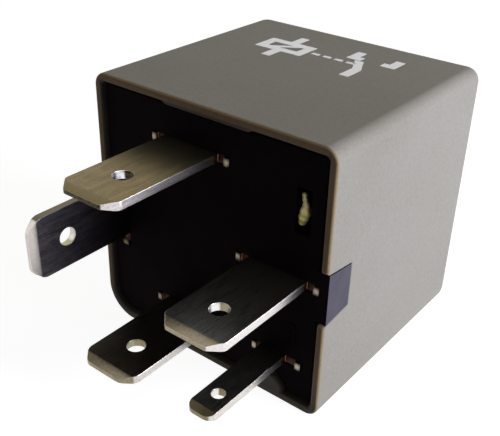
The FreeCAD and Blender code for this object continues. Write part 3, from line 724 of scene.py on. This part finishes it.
# Each blade's faces, sides, bevels, ends, hole walls and horns get tones of their own. They are paler
# or darker by what each blade reflects and how it lies to the lamps: partly the plating's tone, partly
# painted reflection and painted shade.
terminal("86", "Z", 4.5, 0.9, 0.2 * MM, streaks=0.40, specks=0.25, rough=0.26,
         face=(0.172, 0.127, 0.054, 1), face_dark=(0.118, 0.088, 0.036, 1),
         root=(0.155, 0.140, 0.085, 1), bevel=(0.155, 0.118, 0.052, 1),
         end=(0.022, 0.018, 0.010, 1), side=(0.78, 0.73, 0.73, 1),
         side_dark=(0.34, 0.29, 0.29, 1), bore=(0.90, 0.88, 0.94, 1), horn=(0.26, 0.22, 0.16, 1))
terminal("30", "X", 4.2, 0.9, 0.45 * MM, streaks=0.25, specks=0.25, blots=0.1, rough=0.26, cap=0.5,
         face=(0.160, 0.145, 0.170, 1), face_dark=(0.095, 0.082, 0.098, 1),
         root=(0.08, 0.062, 0.070, 1), bevel=(0.62, 0.57, 0.53, 1),
         end=(0.63, 0.58, 0.54, 1), side=(0.150, 0.120, 0.068, 1),
         side_dark=(0.070, 0.058, 0.036, 1), bore=(0.42, 0.41, 0.22, 1), horn=(0.11, 0.085, 0.040, 1))
terminal("87", "Z", 4.2, 0.9, 0.15 * MM, streaks=0.12, specks=0.35, blots=0.3,
         face=(0.140, 0.140, 0.128, 1), face_dark=(0.100, 0.098, 0.090, 1),
         root=(0.190, 0.170, 0.125, 1), bevel=(0.32, 0.27, 0.18, 1),
         end=(0.32, 0.27, 0.18, 1), side=(0.84, 0.80, 0.79, 1),
         side_dark=(0.56, 0.51, 0.49, 1), bore=(0.86, 0.85, 0.82, 1), horn=(0.30, 0.25, 0.19, 1))
terminal("85", "Z", 4.2, 0.9, 0.4 * MM, streaks=0.10, specks=0.25, blots=0.3, cap=0.5,
         face=(0.052, 0.042, 0.030, 1), face_dark=(0.036, 0.029, 0.020, 1),
         root=(0.130, 0.105, 0.075, 1), bevel=(0.30, 0.255, 0.165, 1),
         end=(0.30, 0.255, 0.165, 1), side=(0.72, 0.68, 0.64, 1),
         side_dark=(0.40, 0.36, 0.32, 1), bore=(0.33, 0.32, 0.22, 1), horn=(0.20, 0.165, 0.12, 1))
terminal("87a", "Z", 2.75, 0.65, 0.3 * MM, streaks=0.12, specks=0.35, blots=0.3,
         face=(0.250, 0.250, 0.225, 1), face_dark=(0.170, 0.165, 0.145, 1),
         root=(0.16, 0.145, 0.12, 1), bevel=(0.23, 0.19, 0.10, 1),
         end=(0.22, 0.18, 0.09, 1), side=(0.76, 0.73, 0.69, 1),
         side_dark=(0.44, 0.39, 0.34, 1), bore=(0.80, 0.79, 0.76, 1), horn=(0.34, 0.29, 0.22, 1))

# Yoke, core and armature
# The magnet's soft iron: a bent strip, a turned pin with a wide pole, and the flap
# that it pulls. They are zinc plated, with a satin shine and a few darker clouds.

iron_pale = (0.58, 0.58, 0.56, 1)
iron_dark = (0.40, 0.40, 0.38, 1)
iron_edge = 0.08 * MM


def rolled_metal(name, pale, dark, rough, lie=(6.0, 1.0, 6.0), relief=0.008):
    """Bare or plated metal with soft clouds and the grain of how it was rolled or turned."""
    material, tree, shader = new_material(name)
    place = in_millimetres(tree)
    cloud = noise(tree, place, (0.5, 0.5, 0.5), 4)
    grain = noise(tree, place, lie, 4, 0.6)
    tree.links.new(mixed(tree, ramp(tree, cloud, 0.35, 0.65), pale, dark), shader.inputs["Base Color"])
    tree.links.new(ramp(tree, grain, 0.3, 0.7, rough, rough + 0.15), shader.inputs["Roughness"])
    shader.inputs["Metallic"].default_value = 1.0
    bumped(tree, shader, grain, relief, 0.4)
    return material


iron_finish = rolled_metal("plated_iron", iron_pale, iron_dark, 0.3)
for node in ("yoke", "core", "armature"):
    edged_copy(node, "iron_" + node, iron_edge, iron_finish)

# Bobbin
# The moulded reel that carries the winding, with two flanges and lips that grip the
# yoke's foot. It is pale glass-filled nylon, slightly see-through at its edges.

nylon_cream = (0.66, 0.61, 0.48, 1)
nylon_amber = (0.55, 0.48, 0.33, 1)
bobbin_edge = 0.10 * MM


def nylon_material():
    material, tree, shader = new_material("cream_nylon")
    place = in_millimetres(tree)
    cloud = noise(tree, place, (0.4, 0.4, 0.4), 4)
    grain = noise(tree, place, (8.0, 8.0, 8.0), 3)
    tree.links.new(mixed(tree, ramp(tree, cloud, 0.35, 0.7), nylon_cream, nylon_amber),
                   shader.inputs["Base Color"])
    shader.inputs["Roughness"].default_value = 0.5
    shader.inputs["Subsurface Weight"].default_value = 0.15
    shader.inputs["Subsurface Radius"].default_value = (0.5 * MM, 0.4 * MM, 0.25 * MM)
    bumped(tree, shader, grain, 0.01, 0.3)
    return material


edged_copy("bobbin", "moulded_bobbin", bobbin_edge, nylon_material())

# Winding
# Enamelled copper wire, wound in even layers between the flanges of the bobbin. Its two
# ends run up and down to the posts of the coil terminals, and are wrapped round them.

copper_bright = (0.66, 0.27, 0.12, 1)
copper_deep = (0.42, 0.13, 0.05, 1)
wire_thickness = 0.30 * MM
turn_steps = 4
spin_steps = 64
seam_distance = 0.0005 * MM
coil_middle = Vector((-1.6, 0, 13.45)) * MM
coil_inner_radius = 3.47 * MM
coil_outer_radius = 6.15 * MM
coil_start_y = -0.45 * MM
coil_end_y = 10.85 * MM
post_middle_x = -4.2 * MM
post_middle_y = 0.8 * MM
post_half_width = 1.0 * MM
post_half_thickness = 0.4 * MM
wrap_turns = 3
wrap_gap = 0.05 * MM
leave_radius = 5.2 * MM
turn_in = 0.4 * MM


def wound_barrel(shape):
    """The outside of the winding, one ridge for each turn of its outer layer."""
    turns = round((coil_end_y - coil_start_y) / wire_thickness)
    pitch = (coil_end_y - coil_start_y) / turns
    profile = [(coil_inner_radius, coil_start_y)]
    for turn in range(turns):
        for step in range(turn_steps + 1):
            angle = math.pi * step / turn_steps
            rise = math.sin(angle) * pitch / 2
            y = coil_start_y + pitch * (turn + 0.5 - 0.5 * math.cos(angle))
            if step > 0 or turn == 0:
                profile.append((coil_outer_radius - pitch / 2 + rise, y))
    profile.append((coil_inner_radius, coil_end_y))
    ring = [shape.verts.new((coil_middle.x + radius, y, coil_middle.z)) for radius, y in profile]
    edges = [shape.edges.new((first, second)) for first, second in zip(ring, ring[1:] + ring[:1])]
    bmesh.ops.spin(shape, geom=ring + edges, cent=coil_middle, axis=(0, 1, 0), dvec=(0, 0, 0),
                   angle=2 * math.pi, steps=spin_steps, use_merge=True, use_duplicate=False)


def wire_end(shape, side, post_z):
    """One end of the wire: out of the winding, and wound round its terminal's post."""
    half_x = post_half_width + wrap_gap + wire_thickness / 2
    half_z = post_half_thickness + wrap_gap + wire_thickness / 2
    leave_z = coil_middle.z + side * leave_radius
    near_z = post_z - side * half_z
    route = [Vector((post_middle_x, post_middle_y, leave_z)),
             Vector((post_middle_x, post_middle_y, near_z - side * turn_in))]
    start_y = post_middle_y - (wrap_turns / 2 - 0.5) * wire_thickness
    corners = ((-half_x, -side * half_z), (-half_x, side * half_z), (half_x, side * half_z),
               (half_x, -side * half_z))
    for turn in range(wrap_turns):
        for index, (x, z) in enumerate(corners):
            y = start_y + (turn + index / 4) * wire_thickness
            route.append(Vector((post_middle_x + x, y, post_z + z)))
    curve = bpy.data.curves.new("wire end", "CURVE")
    curve.dimensions = "3D"
    curve.bevel_depth = wire_thickness / 2
    curve.bevel_resolution = 3
    curve.use_fill_caps = True
    spline = curve.splines.new("BEZIER")
    spline.bezier_points.add(len(route) - 1)
    for point, place in zip(spline.bezier_points, route):
        point.co = place
        point.handle_left_type = "VECTOR"
        point.handle_right_type = "VECTOR"
    drawn = bpy.data.objects.new("wire end", curve)
    mesh = bpy.data.meshes.new_from_object(drawn)
    bpy.data.objects.remove(drawn)
    shape.from_mesh(mesh)


def copper_material():
    material, tree, shader = new_material("enamelled_copper")
    place = in_millimetres(tree)
    cloud = noise(tree, place, (0.8, 0.8, 0.8), 4)
    strand = noise(tree, place, (1.2, 6.0, 1.2), 3)
    tree.links.new(mixed(tree, ramp(tree, cloud, 0.35, 0.65), copper_bright, copper_deep),
                   shader.inputs["Base Color"])
    tree.links.new(ramp(tree, strand, 0.3, 0.7, 0.18, 0.32), shader.inputs["Roughness"])
    shader.inputs["Metallic"].default_value = 1.0
    shader.inputs["Coat Weight"].default_value = 0.5
    bumped(tree, shader, strand, 0.006, 0.4)
    return material


def copper_winding():
    shape = bmesh.new()
    wound_barrel(shape)
    wire_end(shape, 1, thick_middle("terminal_86") * MM)
    wire_end(shape, -1, thick_middle("terminal_85") * MM)
    bmesh.ops.remove_doubles(shape, verts=shape.verts, dist=seam_distance)
    bmesh.ops.recalc_face_normals(shape, faces=shape.faces)
    piece = finished(shape, "copper_winding", copper_material(), "relay", angle=60)
    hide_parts("coil_winding")


copper_winding()

# Contact spring
# The bent leaf of rolled copper alloy whose leg is held on the yoke and whose arm, riveted
# to the armature, carries the moving contact. Bright, with fine rolling lines along it.

spring_pale = (0.72, 0.46, 0.27, 1)
spring_dark = (0.60, 0.34, 0.18, 1)
spring_edge = 0.03 * MM

spring_finish = rolled_metal("rolled_copper_alloy", spring_pale, spring_dark, 0.22, (1.0, 1.0, 9.0))
edged_copy("contact_spring", "leaf_spring", spring_edge, spring_finish)

# Contacts
# Silver alloy rivets: a crowned one on each side of the spring's tongue, and two flat
# buttons riveted to the shelves of their terminals. Satin, a little darker from use.

silver_pale = (0.80, 0.79, 0.75, 1)
silver_dark = (0.55, 0.53, 0.49, 1)
contact_edge = 0.06 * MM

silver_finish = rolled_metal("contact_silver_alloy", silver_pale, silver_dark, 0.25, (4.0, 4.0, 4.0))
edged_copy("moving_contact", "contact_moving", contact_edge, silver_finish)
edged_copy("fixed_contact_87", "contact_working", contact_edge, silver_finish)
edged_copy("fixed_contact_87a", "contact_resting", contact_edge, silver_finish)

# Rivets
# Small brass rivets with pressed heads: two hold the spring to the armature, and two
# hold the common terminal to the yoke. The heads show the turning of the tool.

brass_pale = (0.76, 0.60, 0.30, 1)
brass_dark = (0.58, 0.43, 0.20, 1)
rivet_edge = 0.05 * MM

brass_finish = rolled_metal("rivet_brass", brass_pale, brass_dark, 0.24, (5.0, 5.0, 5.0))
edged_copy("armature_rivets", "rivets_armature", rivet_edge, brass_finish)
edged_copy("yoke_rivets", "rivets_yoke", rivet_edge, brass_finish)

# Stage, light and camera
# A pale floor and a white surround, with the lamps of a plain product photograph:
# the strongest from the right, a wide soft one overhead, a weak one from the left front.

floor_reach = 3.0
floor_grey = (0.42, 0.42, 0.42, 1)
floor_glow = 0.93
surround_white = (1, 1, 1, 1)
ambient_colour = (1.0, 0.98, 0.95, 1)
ambient_level = 0.02
lit_point = Vector((0, 0, 13.5)) * MM
key_place = Vector((0.24, 0.07, 0.07))
key_size = 0.14
key_power = 0.79
key_colour = (0.82, 0.862, 1.0)
overhead_place = Vector((0.10, 0.10, 0.28))
overhead_size = 0.24
overhead_power = 0.10
overhead_colour = (1.0, 0.88, 0.70)
fill_place = Vector((-0.16, -0.20, 0.10))
fill_size = 0.2
fill_power = 0.04
fill_colour = (1, 1, 1)


def seen_directly(tree):
    """1 for what the camera sees, straight, mirrored or through glass."""
    path = tree.nodes.new("ShaderNodeLightPath")
    seen = combined(tree, "MAXIMUM", path.outputs["Is Camera Ray"], path.outputs["Is Glossy Ray"])
    return combined(tree, "MAXIMUM", seen, path.outputs["Is Transmission Ray"])


def stage_floor():
    shape = bmesh.new()
    bmesh.ops.create_grid(shape, x_segments=1, y_segments=1, size=floor_reach)
    mesh = bpy.data.meshes.new("stage_floor")
    shape.to_mesh(mesh)
    shape.free()
    floor = bpy.data.objects.new("stage_floor", mesh)
    bpy.context.scene.collection.objects.link(floor)
    material, tree, shader = new_material("pale_floor")
    shader.inputs["Base Color"].default_value = floor_grey
    shader.inputs["Roughness"].default_value = 0.9
    shader.inputs["Specular IOR Level"].default_value = 0.0
    shader.inputs["Emission Color"].default_value = surround_white
    tree.links.new(combined(tree, "MULTIPLY", seen_directly(tree), floor_glow),
                   shader.inputs["Emission Strength"])
    mesh.materials.append(material)


def white_surround():
    world = bpy.data.worlds.new("white surround")
    world.use_nodes = True
    bpy.context.scene.world = world
    tree = world.node_tree
    surround = tree.nodes["Background"]
    seen = seen_directly(tree)
    tree.links.new(mixed(tree, seen, ambient_colour, surround_white), surround.inputs["Color"])
    tree.links.new(ramp(tree, seen, 0, 1, ambient_level, 1.0), surround.inputs["Strength"])


def lamp(name, place, size, power, colour):
    """A square lamp that looks at the middle of the relay."""
    data = bpy.data.lights.new(name, "AREA")
    data.shape = "SQUARE"
    data.size = size
    data.energy = power
    data.color = colour
    made = bpy.data.objects.new(name, data)
    made.location = place
    made.rotation_mode = "QUATERNION"
    made.rotation_quaternion = (lit_point - place).to_track_quat("-Z", "Y")
    bpy.context.scene.collection.objects.link(made)


stage_floor()
white_surround()
lamp("key lamp", key_place, key_size, key_power, key_colour)
lamp("overhead lamp", overhead_place, overhead_size, overhead_power, overhead_colour)
lamp("fill lamp", fill_place, fill_size, fill_power, fill_colour)

camera_azimuth = 37.44
camera_elevation = 29.52
camera_roll = 1.70
camera_distance = 75.89 * MM
camera_target = Vector((0.69, -1.6, 13.87)) * MM
camera_lens = 56.562
camera_sensor = 36.0


def photograph_camera():
    azimuth = math.radians(camera_azimuth)
    elevation = math.radians(camera_elevation)
    back = Vector((math.sin(azimuth) * math.cos(elevation), -math.cos(azimuth) * math.cos(elevation),
                   math.sin(elevation)))
    right = (-back).cross(Vector((0, 0, 1))).normalized()
    up = right.cross(-back)
    roll = math.radians(camera_roll)
    across = right * math.cos(roll) + up * math.sin(roll)
    upward = up * math.cos(roll) - right * math.sin(roll)
    data = bpy.data.cameras.new("photograph camera")
    data.lens = camera_lens
    data.sensor_width = camera_sensor
    data.sensor_fit = "HORIZONTAL"
    data.clip_start = 0.001
    data.clip_end = 10
    made = bpy.data.objects.new("photograph camera", data)
    turn = Matrix((across, upward, back)).transposed()
    made.rotation_mode = "QUATERNION"
    made.rotation_quaternion = turn.to_quaternion()
    made.location = camera_target + back * camera_distance
    bpy.context.scene.collection.objects.link(made)
    bpy.context.scene.camera = made


photograph_camera()
bpy.context.scene.view_settings.view_transform = "Standard"
